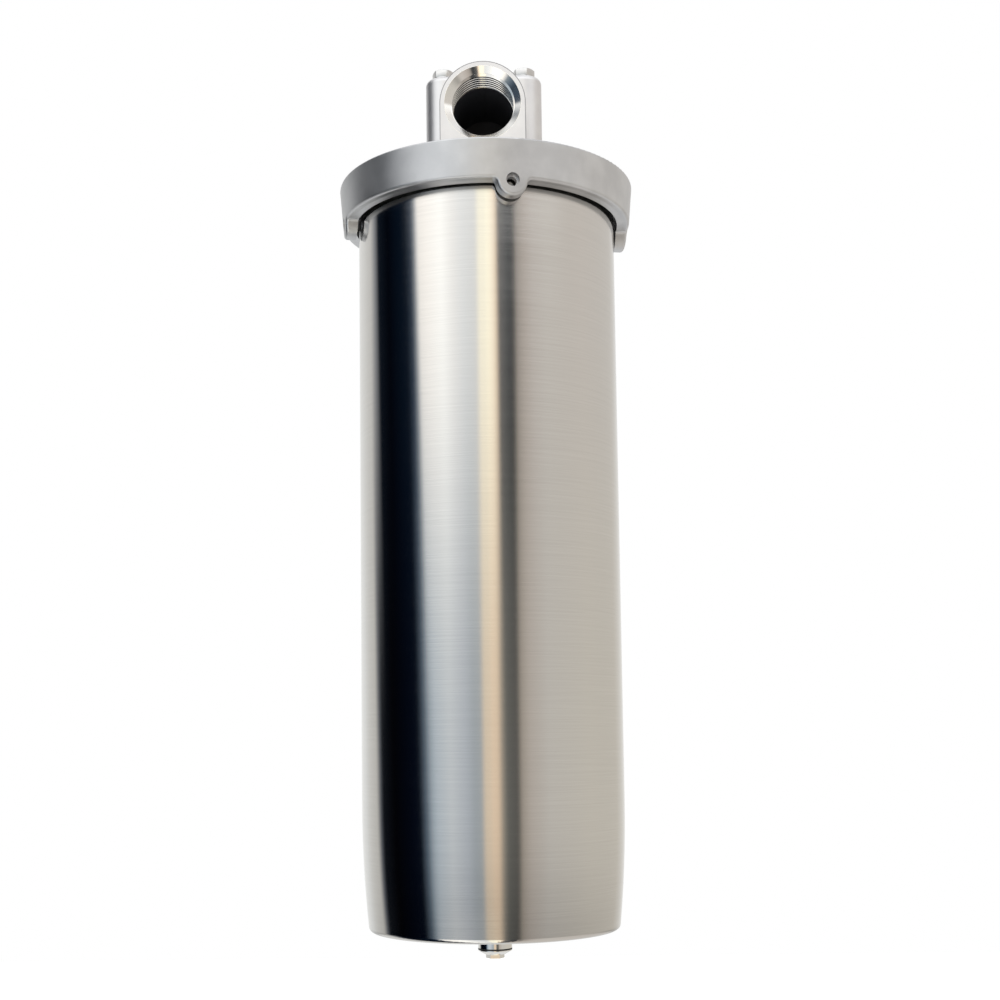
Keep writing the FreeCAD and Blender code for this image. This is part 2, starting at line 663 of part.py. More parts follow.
def draw_cup(sketch):
    """Draw half of the cup's section: a flat floor, and a wall of two arcs that start upright at the top."""
    narrowing = value_of("cap_narrowing")
    top = value_of(CAP_TOP)
    hole = f"({NECK_RADIUS} + weld_clearance)"
    floor_top = f"({SUMP_FOOT} + cap_wall)"
    walls = []
    for radius, foot in (("sump_radius", SUMP_FOOT), (SUMP_BORE, floor_top)):
        height = top - value_of(foot)
        bend = (height ** 2 + narrowing ** 2) / (2 * narrowing)
        centre = FreeCAD.Vector(value_of(radius) - bend, top, 0)
        circle = Part.Circle(centre, FreeCAD.Vector(0, 0, 1), bend)
        wall = sketch.addGeometry(Part.ArcOfCircle(circle, -math.asin(height / bend), 0))
        hold_point(sketch, wall, 1, f"({radius} - cap_narrowing)", foot)
        hold_point(sketch, wall, 2, radius, CAP_TOP)
        index = sketch.addConstraint(Sketcher.Constraint("DistanceY", -1, 1, wall, 3, top))
        sketch.setExpression(f"Constraints[{index}]", bound(CAP_TOP))
        walls.append(wall)
    outer, inner = walls
    foot_end = sketch.Geometry[outer].StartPoint
    floor_end = sketch.Geometry[inner].StartPoint
    low_hole = FreeCAD.Vector(value_of(hole), foot_end.y, 0)
    high_hole = FreeCAD.Vector(value_of(hole), floor_end.y, 0)
    brim = sketch.addGeometry(Part.LineSegment(sketch.Geometry[outer].EndPoint, sketch.Geometry[inner].EndPoint))
    floor = sketch.addGeometry(Part.LineSegment(floor_end, high_hole))
    side = sketch.addGeometry(Part.LineSegment(high_hole, low_hole))
    foot_line = sketch.addGeometry(Part.LineSegment(low_hole, foot_end))
    for item, end, other, other_end in (
        (outer, 2, brim, 1),
        (brim, 2, inner, 2),
        (inner, 1, floor, 1),
        (floor, 2, side, 1),
        (side, 2, foot_line, 1),
        (foot_line, 2, outer, 1),
    ):
        sketch.addConstraint(Sketcher.Constraint("Coincident", item, end, other, other_end))
    hold_point(sketch, side, 1, hole, floor_top)
    hold_point(sketch, side, 2, hole, SUMP_FOOT)


def drain_socket():
    body = new_body("drain_socket")
    turn(body, "Socket", [
        (DRAIN_BORE, SOCKET_FOOT),
        (SOCKET_RADIUS, SOCKET_FOOT),
        (SOCKET_RADIUS, SUMP_FOOT),
        (NECK_RADIUS, SUMP_FOOT),
        (NECK_RADIUS, f"{SUMP_FOOT} + cap_wall"),
        (DRAIN_BORE, f"{SUMP_FOOT} + cap_wall"),
    ])
    return body


def drain_plug():
    """Screw plug: shank, flange, cone and a hexagon nub at the tip."""
    body = new_body("drain_plug")
    turn(body, "Plug", [
        ("0", "nub_height"),
        (f"{SOCKET_RADIUS} - plug_cone_width", "nub_height"),
        (SOCKET_RADIUS, "nub_height + plug_cone"),
        (SOCKET_RADIUS, PLUG_TOP),
        ("drain_thread_radius", PLUG_TOP),
        ("drain_thread_radius", f"{PLUG_TOP} + plug_shank"),
        ("0", f"{PLUG_TOP} + plug_shank"),
    ])
    sketch = new_sketch(body, "NubProfile", "XY_Plane")
    corner = "(nub_across / sqrt(3))"
    draw_outline(sketch, [
        (corner, "0"),
        (f"{corner} / 2", "nub_across / 2"),
        (f"-{corner} / 2", "nub_across / 2"),
        (f"-{corner}", "0"),
        (f"-{corner} / 2", "-nub_across / 2"),
        (f"{corner} / 2", "-nub_across / 2"),
    ])
    extrude(body, "Nub", sketch, "nub_height + plug_cone / 2")
    return body


def basket_seat_ring():
    body = new_body("basket_seat_ring")
    foot = f"({SEAT_TOP} - seat_thickness)"
    turn(body, "Ring", [
        (f"{BASKET_RADIUS} + basket_clearance", foot),
        (f"{SUMP_BORE} - weld_clearance", foot),
        (f"{SUMP_BORE} - weld_clearance", SEAT_TOP),
        (f"{BASKET_RADIUS} + basket_clearance", SEAT_TOP),
    ])
    sketch = new_sketch(body, "FlowHoleProfile", "XY_Plane", foot)
    draw_circle(sketch, SEAT_HOLE_CIRCLE, "0", "seat_hole_radius")
    hole = extrude(body, "FlowHole", sketch, "seat_thickness", "PartDesign::Pocket", reverse=True)
    pattern_round(body, "FlowHoles", [hole], "seat_hole_count")
    return body


def basket_wall():
    """Rolled tube with rows of holes, each row turned by half a step from the one below."""
    body = new_body("basket_wall")
    turn(body, "Tube", [
        (BASKET_BORE, BASKET_FOOT),
        (BASKET_RADIUS, BASKET_FOOT),
        (BASKET_RADIUS, BASKET_TOP),
        (BASKET_BORE, BASKET_TOP),
    ])
    span = f"({BASKET_TOP} - {BASKET_FOOT} - 2 * basket_hole_margin)"
    lower = new_sketch(body, "HoleProfile", "XZ_Plane")
    draw_circle(lower, "0", f"{BASKET_FOOT} + basket_hole_margin", "basket_hole_radius")
    reach = f"({BASKET_RADIUS} + basket_hole_radius)"
    hole = extrude(body, "Hole", lower, reach, "PartDesign::Pocket", reverse=True)
    column = body.newObject("PartDesign::LinearPattern", "HoleColumn")
    axis = [one for one in body.Origin.OriginFeatures if one.Role == "Z_Axis"]
    column.Direction = (axis[0], [""])
    column.setExpression("Length", bound(span))
    column.setExpression("Occurrences", bound("basket_hole_rows"))
    around = body.newObject("PartDesign::PolarPattern", "HoleRows")
    around.Axis = (axis[0], [""])
    around.Angle = 360
    around.setExpression("Occurrences", bound("basket_hole_columns"))
    grid = body.newObject("PartDesign::MultiTransform", "HoleGrid")
    grid.Originals = [hole]
    grid.Transformations = [column, around]
    body.Tip = grid
    doc.recompute()
    return body


def basket_bottom():
    body = new_body("basket_bottom")
    turn(body, "Disc", [
        ("0", BASKET_FOOT),
        (f"{BASKET_BORE} - weld_clearance", BASKET_FOOT),
        (f"{BASKET_BORE} - weld_clearance", FLOOR_TOP),
        ("0", FLOOR_TOP),
    ])
    sketch = new_sketch(body, "FloorHoleProfile", "XY_Plane", BASKET_FOOT)
    draw_circle(sketch, "floor_hole_circle", "0", "basket_hole_radius")
    hole = extrude(body, "FloorHole", sketch, "basket_floor", "PartDesign::Pocket", reverse=True)
    pattern_round(body, "FloorHoles", [hole], "floor_hole_count")
    return body


def filter_bag():
    """Closed felt bag, plain, open at the top."""
    body = new_body("filter_bag")
    foot = f"({FLOOR_TOP} + bag_clearance)"
    turn(body, "Bag", [
        ("0", foot),
        (BAG_RADIUS, foot),
        (BAG_RADIUS, f"{BASKET_TOP} - bag_clearance"),
        (BAG_BORE, f"{BASKET_TOP} - bag_clearance"),
        (BAG_BORE, f"{foot} + bag_wall"),
        ("0", f"{foot} + bag_wall"),
    ])
    round_edges(body, "Edge", lambda edge: is_ring(edge, BAG_RADIUS, foot), "bag_edge_radius")
    return body


def bag_ring():
    body = new_body("bag_ring")
    turn(body, "Collar", [
        (COLLAR_BORE, f"{BASKET_TOP} - bag_ring_skirt"),
        (COLLAR_RADIUS, f"{BASKET_TOP} - bag_ring_skirt"),
        (COLLAR_RADIUS, BASKET_TOP),
        (RIM_RADIUS, BASKET_TOP),
        (RIM_RADIUS, COVER_FOOT),
        (COLLAR_BORE, COVER_FOOT),
    ])
    return body


def bag_cover_plate():
    body = new_body("bag_cover_plate")
    turn(body, "Plate", [
        (HUB_BORE, COVER_FOOT),
        (RIM_RADIUS, COVER_FOOT),
        (RIM_RADIUS, COVER_TOP),
        (f"{HUB_BORE} + hub_wall", COVER_TOP),
        (f"{HUB_BORE} + hub_wall", f"{COVER_TOP} + hub_height"),
        (HUB_BORE, f"{COVER_TOP} + hub_height"),
    ])
    return body


def build_parts():
    corners = (
        ("front_left", "-bolt_across_pitch / 2", "-bolt_along_pitch / 2"),
        ("front_right", "bolt_across_pitch / 2", "-bolt_along_pitch / 2"),
        ("rear_left", "-bolt_across_pitch / 2", "bolt_along_pitch / 2"),
        ("rear_right", "bolt_across_pitch / 2", "bolt_along_pitch / 2"),
    )
    parts = [head_casting()]
    for place, across, along in corners:
        parts.append(bracket_bolt("bracket_bolt_" + place, across, along))
        parts.append(bracket_washer("bracket_washer_" + place, across, along))
    seal_level = f"{SUMP_TOP} + head_seal_section + seal_clearance"
    parts.append(seal("head_o_ring", HEAD_SEAL_RADIUS, "head_seal_section", seal_level))
    spigot_seal_radius = f"{SPIGOT_RADIUS} - spigot_seal_section"
    spigot_seal_level = f"{SPIGOT_FOOT} + spigot_seal_rise"
    parts.append(seal("spigot_o_ring", spigot_seal_radius, "spigot_seal_section", spigot_seal_level))
    parts.append(ring_nut())
    slip_bore = "sump_radius + slip_clearance"
    slip_radius = f"{FLANGE_RADIUS} - slip_clearance"
    parts.append(plain_ring("slip_washer", slip_bore, slip_radius, SLIP_FOOT, FLANGE_FOOT))
    parts.append(plain_ring("sump_shell", SUMP_BORE, "sump_radius", CAP_TOP, SUMP_TOP))
    flange_bore = "sump_radius + weld_clearance"
    parts.append(plain_ring("sump_flange", flange_bore, FLANGE_RADIUS, FLANGE_FOOT, SUMP_TOP))
    parts.append(sump_end_cap())
    parts.append(drain_socket())
    gasket_bore = f"{DRAIN_BORE} + thread_clearance"
    parts.append(plain_ring("drain_gasket", gasket_bore, SOCKET_RADIUS, PLUG_TOP, SOCKET_FOOT))
    parts.append(drain_plug())
    parts.append(basket_seat_ring())
    rim_bore = f"{BASKET_RADIUS} + weld_clearance"
    parts.append(plain_ring("basket_rim", rim_bore, RIM_RADIUS, SEAT_TOP, BASKET_TOP))
    parts.append(basket_wall())
    parts.append(basket_bottom())
    parts.append(filter_bag())
    parts.append(bag_ring())
    parts.append(bag_cover_plate())
    return parts


def write_parts(parts):
    """Check the whole document, then write one STEP file for each piece."""
    doc.recompute()
    faults = [f"{one.Name} {one.State}" for one in doc.Objects if {"Invalid", "Error"} & set(one.State)]
    for part in parts:
        if part.Shape.isNull() or not part.Shape.isValid():
            faults.append(f"{part.Label} has no valid shape")
    if faults:
        raise RuntimeError("; ".join(faults))
    os.makedirs("parts", exist_ok=True)
    for part in parts:
        part.Shape.exportStep(f"parts/{part.Label}.step")
        print(part.Label, len(part.Shape.Solids), round(part.Shape.Volume, 1))


write_parts(build_parts())
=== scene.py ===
import json
import math

import bpy
from mathutils import Matrix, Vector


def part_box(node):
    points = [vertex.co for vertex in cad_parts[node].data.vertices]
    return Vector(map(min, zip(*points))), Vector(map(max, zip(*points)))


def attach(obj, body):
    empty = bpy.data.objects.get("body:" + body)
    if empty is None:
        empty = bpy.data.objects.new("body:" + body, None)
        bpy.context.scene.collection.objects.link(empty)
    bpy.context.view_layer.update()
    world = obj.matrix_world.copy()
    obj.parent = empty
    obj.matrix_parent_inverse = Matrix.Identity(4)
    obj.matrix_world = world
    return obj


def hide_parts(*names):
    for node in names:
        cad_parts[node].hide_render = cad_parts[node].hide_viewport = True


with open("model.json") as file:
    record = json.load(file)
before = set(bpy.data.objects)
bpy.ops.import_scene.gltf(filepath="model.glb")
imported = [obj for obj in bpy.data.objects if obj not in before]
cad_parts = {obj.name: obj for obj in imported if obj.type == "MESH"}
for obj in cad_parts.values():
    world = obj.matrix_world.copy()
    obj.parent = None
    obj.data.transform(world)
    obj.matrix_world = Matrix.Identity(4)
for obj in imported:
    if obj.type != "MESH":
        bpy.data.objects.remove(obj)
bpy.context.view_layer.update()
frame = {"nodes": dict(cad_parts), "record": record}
scene = bpy.context.scene
scene.view_settings.view_transform = "Standard"
mounts = {mount["name"]: mount for mount in frame["record"]["mounts"]}
portLevel = mounts["inlet_port"]["pos_m"][2]
portRadius = mounts["inlet_port"]["dims"]["r_mm"] / 1000
print("frame loaded")

# Shader sheets


class Value:
    def __init__(self, sheet, socket):
        self.sheet = sheet
        self.socket = socket

    def math(self, operation, *others):
        return self.sheet.calculate(operation, self, *others)

    def __add__(self, other):
        return self.math("ADD", other)

    def __radd__(self, other):
        return self.math("ADD", other)

    def __sub__(self, other):
        return self.math("SUBTRACT", other)

    def __rsub__(self, other):
        return self.sheet.calculate("SUBTRACT", other, self)

    def __mul__(self, other):
        return self.math("MULTIPLY", other)

    def __rmul__(self, other):
        return self.math("MULTIPLY", other)

    def __truediv__(self, other):
        return self.math("DIVIDE", other)

    def __gt__(self, other):
        return self.math("GREATER_THAN", other)

    def __lt__(self, other):
        return self.math("LESS_THAN", other)

    def within(self, low, high):
        return (self > low) * (self < high)

    def swing(self, amount):  # what a noise adds: half the amount either way
        return (self - 0.5) * amount


class Sheet:
    def __init__(self, tree):
        self.tree = tree
        self.nodes = tree.nodes
        self.nodes.clear()

    def feed(self, socket, value):
        if isinstance(value, Value):
            self.tree.links.new(value.socket, socket)
        elif value is not None:
            socket.default_value = value

    def node(self, kind, settings=None, output=0, **sockets):
        made = self.nodes.new(kind)
        for name, value in (settings or {}).items():
            if name == "stops":
                fillRamp(made.color_ramp, value)
            else:
                setattr(made, name, value)
        for name, value in sockets.items():
            self.feed(made.inputs[socketKey(name)], value)
        return Value(self, made.outputs[output])

    def calculate(self, operation, *values):
        sockets = {f"input{index}": value for index, value in enumerate(values)}
        return self.node("ShaderNodeMath", {"operation": operation}, **sockets)

    def blend(self, factor, first, second):  # colours: the first at 0, the second at 1
        settings = {"data_type": "RGBA", "clamp_factor": True}
        sockets = {"input0": factor, "input6": first, "input7": second}
        return self.node("ShaderNodeMix", settings, output=2, **sockets)

    def rise(self, value, low, high):  # 0 below low, 1 above high, and smooth between them
        settings = {"interpolation_type": "SMOOTHSTEP"}
        return self.node("ShaderNodeMapRange", settings, input0=value, input1=low, input2=high)

    def axes(self, vector):
        parts = self.nodes.new("ShaderNodeSeparateXYZ")
        self.feed(parts.inputs["Vector"], vector)
        return [Value(self, output) for output in parts.outputs]

    def noise(self, place, scale, detail=2.0):
        return self.node("ShaderNodeTexNoise", Vector=place, Scale=scale, Detail=detail)

    def streaks(self, place, scales, detail=2.0):  # noise with its own scale along each axis
        stretched = self.node("ShaderNodeMapping", Vector=place, Scale=scales)
        return self.noise(stretched, 1.0, detail)

    def bump(self, height, strength, depth):
        return self.node("ShaderNodeBump", Strength=strength, Distance=depth, Height=height)


def socketKey(name):  # input6 is the socket numbered 6, and Base_Color the one called Base Color
    if name.startswith("input"):
        return int(name.removeprefix("input"))
    return name.replace("_", " ")


def fillRamp(ramp, stops):
    while len(ramp.elements) > 1:
        ramp.elements.remove(ramp.elements[-1])
    for index, (place, colour) in enumerate(stops):
        element = ramp.elements[0] if index == 0 else ramp.elements.new(place)
        element.position = place
        element.color = tuple(colour) + (1.0,)


def grey(level):
    return (level, level, level, 1.0)


def newMaterial(name):
    material = bpy.data.materials.new(name)
    material.use_nodes = True
    return material, Sheet(material.node_tree)


def objectPlace(sheet):
    return sheet.node("ShaderNodeTexCoord", output="Object")


def finishMaterial(sheet, normal=None, **sockets):
    shader = sheet.node("ShaderNodeBsdfPrincipled", Normal=normal, **sockets)
    out = sheet.nodes.new("ShaderNodeOutputMaterial")
    sheet.feed(out.inputs["Surface"], shader)


def shaded(sheet, factor, look, span=(0.3, 0.7)):  # the look's colour, darker where the factor is low
    dark = tuple(look["darker"] * part for part in look["colour"]) + (1.0,)
    return sheet.blend(sheet.rise(factor, *span), dark, look["colour"] + (1.0,))


# Camera

view = {
    "azimuth": 1.2,  # degrees round from the inlet side, to the right
    "distance": 0.7678,  # from the sump's axis
    "height": 0.1073,
    "tilt": 5.0,  # degrees upwards
    "roll": -0.0125,  # radians
    "lens": 54.017,
    "sensor": 36.0,
    "shiftX": 0.009,
    "shiftY": 0.1124,
}


def makeCamera():
    camera = bpy.data.objects.new("camera", bpy.data.cameras.new("camera"))
    scene.collection.objects.link(camera)
    around = Matrix.Rotation(math.radians(view["azimuth"]), 4, "Z")
    back = Matrix.Translation((0, -view["distance"], view["height"]))
    tilt = Matrix.Rotation(math.radians(90 + view["tilt"]), 4, "X")
    roll = Matrix.Rotation(view["roll"], 4, "Z")
    camera.matrix_world = around @ back @ tilt @ roll
    camera.data.lens = view["lens"]
    camera.data.sensor_width = view["sensor"]
    camera.data.shift_x = view["shiftX"]
    camera.data.shift_y = view["shiftY"]
    scene.camera = camera


# Studio: white paper behind, a dark flag on the left, a large softbox left of the camera, a warm
# opening behind the camera with a dark strip on its right, and a pale wall on the right.
# Each stop is a bearing in turns, from the camera's side round by its right.

studio = {
    "lowWalls": [
        (0.0, (1.02, 0.80, 0.59)),
        (0.016, (0.95, 0.74, 0.54)),
        (0.026, (0.40, 0.36, 0.30)),
        (0.037, (0.17, 0.17, 0.155)),
        (0.062, (0.13, 0.125, 0.115)),
        (0.072, (0.46, 0.41, 0.35)),
        (0.092, (0.60, 0.545, 0.49)),
        (0.14, (0.69, 0.66, 0.61)),
        (0.26, (0.725, 0.685, 0.61)),
        (0.38, (0.70, 0.66, 0.59)),
        (0.50, (0.95, 0.95, 0.94)),
        (0.595, (0.88, 0.89, 0.88)),
        (0.63, (0.76, 0.755, 0.73)),
        (0.666, (0.66, 0.65, 0.62)),
        (0.683, (0.12, 0.13, 0.15)),
        (0.695, (0.006, 0.008, 0.012)),
        (0.74, (0.001, 0.001, 0.002)),
        (0.820, (0.001, 0.003, 0.010)),
        (0.838, (0.11, 0.15, 0.20)),
        (0.853, (0.42, 0.50, 0.57)),
        (0.866, (0.58, 0.66, 0.73)),
        (0.902, (0.72, 0.77, 0.81)),
        (0.940, (0.57, 0.62, 0.68)),
        (0.960, (0.46, 0.51, 0.55)),
        (0.976, (0.47, 0.51, 0.53)),
        (0.986, (0.92, 0.76, 0.58)),
    ],
    "highWalls": [
        (0.0, (1.52, 1.47, 1.18)),
        (0.014, (1.47, 1.34, 1.06)),
        (0.024, (1.18, 0.95, 0.72)),
        (0.031, (0.18, 0.175, 0.17)),
        (0.055, (0.055, 0.06, 0.065)),
        (0.066, (0.06, 0.06, 0.06)),
        (0.076, (0.42, 0.38, 0.34)),
        (0.094, (0.58, 0.52, 0.47)),
        (0.115, (0.68, 0.63, 0.585)),
        (0.15, (0.73, 0.69, 0.64)),
        (0.26, (0.75, 0.70, 0.65)),
        (0.40, (0.72, 0.69, 0.65)),
        (0.48, (0.86, 0.86, 0.85)),
        (0.625, (0.82, 0.82, 0.80)),
        (0.675, (0.70, 0.69, 0.67)),
        (0.700, (0.30, 0.31, 0.33)),
        (0.718, (0.006, 0.010, 0.018)),
        (0.76, (0.001, 0.002, 0.005)),
        (0.822, (0.004, 0.010, 0.022)),
        (0.838, (0.035, 0.055, 0.09)),
        (0.847, (0.40, 0.43, 0.46)),
        (0.855, (1.28, 1.24, 1.18)),
        (0.875, (1.42, 1.37, 1.30)),
        (0.910, (1.53, 1.53, 1.48)),
        (0.935, (1.26, 1.25, 1.22)),
        (0.955, (1.10, 1.12, 1.12)),
        (0.980, (1.01, 1.02, 1.01)),
        (0.988, (1.40, 1.34, 1.10)),
    ],
    # from here on, heights are sines of the angle above the horizon
    "wallsBlend": (0.0, 0.33),  # the high walls take over
    "tableBlend": (0.30, 0.46),  # the same below the horizon, where a white table mirrors them
    "lean": 0.10,  # turns by which the left walls' edges lean with height
    "leanFoot": -0.05,  # the lean goes no further down
    "canopy": (1.55, 1.55, 1.54, 1.0),  # softbox above the camera
    "canopyFoot": (0.36, 0.46),
    "canopyEdge": (0.10, 0.45),  # it hangs on the camera's side only
    "ceiling": (1.0, 1.0, 1.0, 1.0),
    "ceilingFoot": (0.62, 0.85),
    "dusk": 0.20,  # what is left of the low walls' light, down at the table
    "duskHeights": (-0.62, -0.05),
    "background": (1.0, 1.0, 1.0, 1.0),
    "floorDrop": 0.42,  # the housing hangs from its pipes, with room to lower the sump
    "floorSize": 6.0,
    "floorColour": (0.50, 0.50, 0.50, 1.0),
    "floorLift": 0.76,  # the paper's glow to the camera, which makes it white outside the shadow
}


def makeWorld():
    world = bpy.data.worlds.new("studio")
    scene.world = world
    world.use_nodes = True
    sheet = Sheet(world.node_tree)
    east, north, up = sheet.axes(sheet.node("ShaderNodeTexCoord", output="Generated"))
    westward = (-1 * east).math("MAXIMUM", 0.0)
    lean = up.math("MAXIMUM", studio["leanFoot"]) * (studio["lean"] * westward)
    bearing = (east.math("ARCTAN2", -1 * north) / (2 * math.pi) + lean).math("FRACT")
    low = sheet.node("ShaderNodeValToRGB", {"stops": studio["lowWalls"]}, input0=bearing)
    high = sheet.node("ShaderNodeValToRGB", {"stops": studio["highWalls"]}, input0=bearing)
    dusk = studio["dusk"] + (1 - studio["dusk"]) * sheet.rise(up, *studio["duskHeights"])
    dimmed = sheet.blend(dusk, grey(0.0), low)
    highShare = sheet.rise(up, *studio["wallsBlend"])
    highShare = highShare + sheet.rise(-1 * up, *studio["tableBlend"])
    walls = sheet.blend(highShare, dimmed, high)
    roofed = sheet.blend(sheet.rise(up, *studio["ceilingFoot"]), walls, studio["ceiling"])
    overhead = sheet.rise(up, *studio["canopyFoot"]) * sheet.rise(-1 * north, *studio["canopyEdge"])
    closed = sheet.blend(overhead, roofed, studio["canopy"])
    seen = sheet.node("ShaderNodeLightPath", output="Is Camera Ray")
    colour = sheet.blend(seen, closed, studio["background"])
    light = sheet.node("ShaderNodeBackground", Color=colour)
    out = sheet.nodes.new("ShaderNodeOutputWorld")
    sheet.feed(out.inputs["Surface"], light)


def makeFloor():
    bpy.ops.mesh.primitive_plane_add(size=studio["floorSize"], location=(0, 0, -studio["floorDrop"]))
    floor = bpy.context.object
    floor.name = "floor"
    floor.visible_glossy = False  # metal sees the studio's own walls below the horizon
    material, sheet = newMaterial("paper")
    seen = sheet.node("ShaderNodeLightPath", output="Is Camera Ray")
    glow = sheet.blend(seen, grey(0.0), grey(studio["floorLift"]))
    finishMaterial(sheet, Base_Color=studio["floorColour"], Roughness=1.0, Emission_Color=glow,
                   Emission_Strength=1.0)
    floor.data.materials.append(material)


makeCamera()
makeWorld()
makeFloor()
print("camera and studio ready")

# Finishes of the castings

casting = {
    "headLight": (0.79, 0.79, 0.80, 1.0),
    "headDark": (0.71, 0.71, 0.73, 1.0),
    "headRoughness": 0.44,
    "ringLight": (0.69, 0.70, 0.72, 1.0),
    "ringDark": (0.60, 0.61, 0.63, 1.0),
    "ringRoughness": 0.44,
    "mottleScale": 70.0,
    "mottleSpan": (0.3, 0.7),
    "mottleRoughness": 0.12,
    "grainScale": 1300.0,
    "grainStrength": 0.30,
    "grainDepth": 0.00006,
}

port = {
    "machinedColour": (0.80, 0.79, 0.78, 1.0),
    "machinedRoughness": 0.16,
    "mouthRadius": 0.0191,  # the head is machined within it
    "turningScale": (200.0, 4200.0, 200.0),
    # painted shade: the bore's inside is near black and not metal, so the deep recess reads as dark
    # as its shade
    "boreShadeColour": (0.05, 0.052, 0.062, 1.0),
    "boreRoughness": 0.3,
    "boreRadius": 0.0158,
    "boreEnd": 0.0319,  # from the axis to where the threads start
    "rimReflectionColour": (0.30, 0.30, 0.32, 1.0),  # painted reflection: a dark line round the edge of the port's face, where its rounded edge would mirror the dark studio
    "rimRadii": (0.0210, 0.0215),
    "rimReaches": (0.0488, 0.0492),
    "rimFoot": 0.398,
}


def castLook(sheet, place, dark, light):  # what both castings share: unevenness, colour and grain
    mottle = sheet.noise(place, casting["mottleScale"], detail=4.0)
    unevenness = mottle.swing(casting["mottleRoughness"])
    colour = sheet.blend(sheet.rise(mottle, *casting["mottleSpan"]), casting[dark], casting[light])
    grain = sheet.noise(place, casting["grainScale"])
    return unevenness, colour, grain


def ringFinish():
    material, sheet = newMaterial("blastedRing")
    place = objectPlace(sheet)
    unevenness, colour, grain = castLook(sheet, place, "ringDark", "ringLight")
    normal = sheet.bump(grain, casting["grainStrength"], casting["grainDepth"])
    finishMaterial(sheet, normal, Base_Color=colour, Metallic=1.0,
                   Roughness=casting["ringRoughness"] + unevenness)
    return material


def headFinish():
    material, sheet = newMaterial("blastedHead")
    place = objectPlace(sheet)
    across, along, up = sheet.axes(place)
    unevenness, colour, grain = castLook(sheet, place, "headDark", "headLight")
    reach = along.math("ABSOLUTE")
    rise = up - portLevel
    fromPort = (across * across + rise * rise).math("SQRT")
    # painted shade: inside the bore the colour goes near black and stops being metal
    inBore = (fromPort < port["boreRadius"]) * (reach < port["boreEnd"])
    machined = (fromPort < port["mouthRadius"]) * (reach > port["boreEnd"])
    # painted reflection: a thin dark ring round the port's face, standing in for its rounded edge
    # mirroring the dark studio
    outer = fromPort * (rise > 0) + across.math("ABSOLUTE") * (rise < 0)
    atFace = reach.within(*port["rimReaches"]) * (up > port["rimFoot"])
    rim = outer.within(*port["rimRadii"]) * atFace
    cast = sheet.blend(rim, colour, port["rimReflectionColour"])
    steel = sheet.blend(machined, cast, port["machinedColour"])
    painted = sheet.blend(inBore, steel, port["boreShadeColour"])
    blasted = casting["headRoughness"] + unevenness
    roughness = (blasted * (1 - machined) + machined * port["machinedRoughness"]
                 + inBore * port["boreRoughness"])
    turning = sheet.streaks(place, port["turningScale"], detail=1.0)
    height = grain * (1 - machined) + turning * machined
    normal = sheet.bump(height, casting["grainStrength"], casting["grainDepth"])
    finishMaterial(sheet, normal, Base_Color=painted, Metallic=1 - inBore, Roughness=roughness)
    return material


# Finishes of the turned and drawn steel

brushed = {
    "colour": (0.70, 0.69, 0.675),
    "darker": 0.93,
    "roughness": 0.11,
    "anisotropic": 0.82,
    "anisotropyTurn": 0.25,
    "lineScale": (26.0, 26.0, 5200.0),
    "lineSpan": (0.25, 0.75),
    "lineStrength": 0.10,
    "lineDepth": 0.0001,
    "lineRoughness": 0.07,
    "bandScale": (5.0, 5.0, 90.0),
    "bandRoughness": 0.04,
    # painted shade: the tube's top darkens towards the ring, standing in for the shade in the gap
    # under it
    "ringGapShade": (0.36, 0.36, 0.35, 1.0),
    "ringGapShadeReach": 0.0145,  # from the sump's top down to where the painted shade ends
    "ringGapShadeFade": 0.0050,
}


def brushedFinish():
    material, sheet = newMaterial("brushedTube")
    place = objectPlace(sheet)
    up = sheet.axes(place)[2]
    lines = sheet.streaks(place, brushed["lineScale"], detail=3.0)
    bands = sheet.streaks(place, brushed["bandScale"], detail=3.0)
    normal = sheet.bump(lines, brushed["lineStrength"], brushed["lineDepth"])
    roughness = (brushed["roughness"] + lines.swing(brushed["lineRoughness"])
                 + bands.swing(brushed["bandRoughness"]))
    tint = shaded(sheet, lines, brushed, brushed["lineSpan"])
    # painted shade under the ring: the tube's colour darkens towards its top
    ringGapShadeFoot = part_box("sump_shell")[1][2] - brushed["ringGapShadeReach"]
    underRingShade = sheet.rise(up, ringGapShadeFoot, ringGapShadeFoot + brushed["ringGapShadeFade"])
    finishMaterial(sheet, normal, Base_Color=sheet.blend(underRingShade, tint, brushed["ringGapShade"]),
                   Metallic=1.0, Roughness=roughness, Anisotropic=brushed["anisotropic"],
                   Anisotropic_Rotation=brushed["anisotropyTurn"])
    return material


polished = {
    "colour": (0.80, 0.79, 0.77, 1.0),
    "roughness": 0.09,
    "lineScale": (80.0, 80.0, 9000.0),
    "lineStrength": 0.06,
    "lineDepth": 0.00005,
    "lineRoughness": 0.06,
}


def polishedFinish():
    material, sheet = newMaterial("polishedSteel")
    place = objectPlace(sheet)
    lines = sheet.streaks(place, polished["lineScale"])
    normal = sheet.bump(lines, polished["lineStrength"], polished["lineDepth"])
    finishMaterial(sheet, normal, Base_Color=polished["colour"], Metallic=1.0,
                   Roughness=polished["roughness"] + lines.swing(polished["lineRoughness"]))
    return material


zinc = {
    "colour": (0.70, 0.70, 0.70),
    "darker": 0.88,
    "cloudScale": 300.0,
    "roughness": 0.33,
    "scratchScale": 1500.0,
    "scratchStrength": 0.12,
    "scratchDepth": 0.00004,
    "scratchRoughness": 0.15,
}


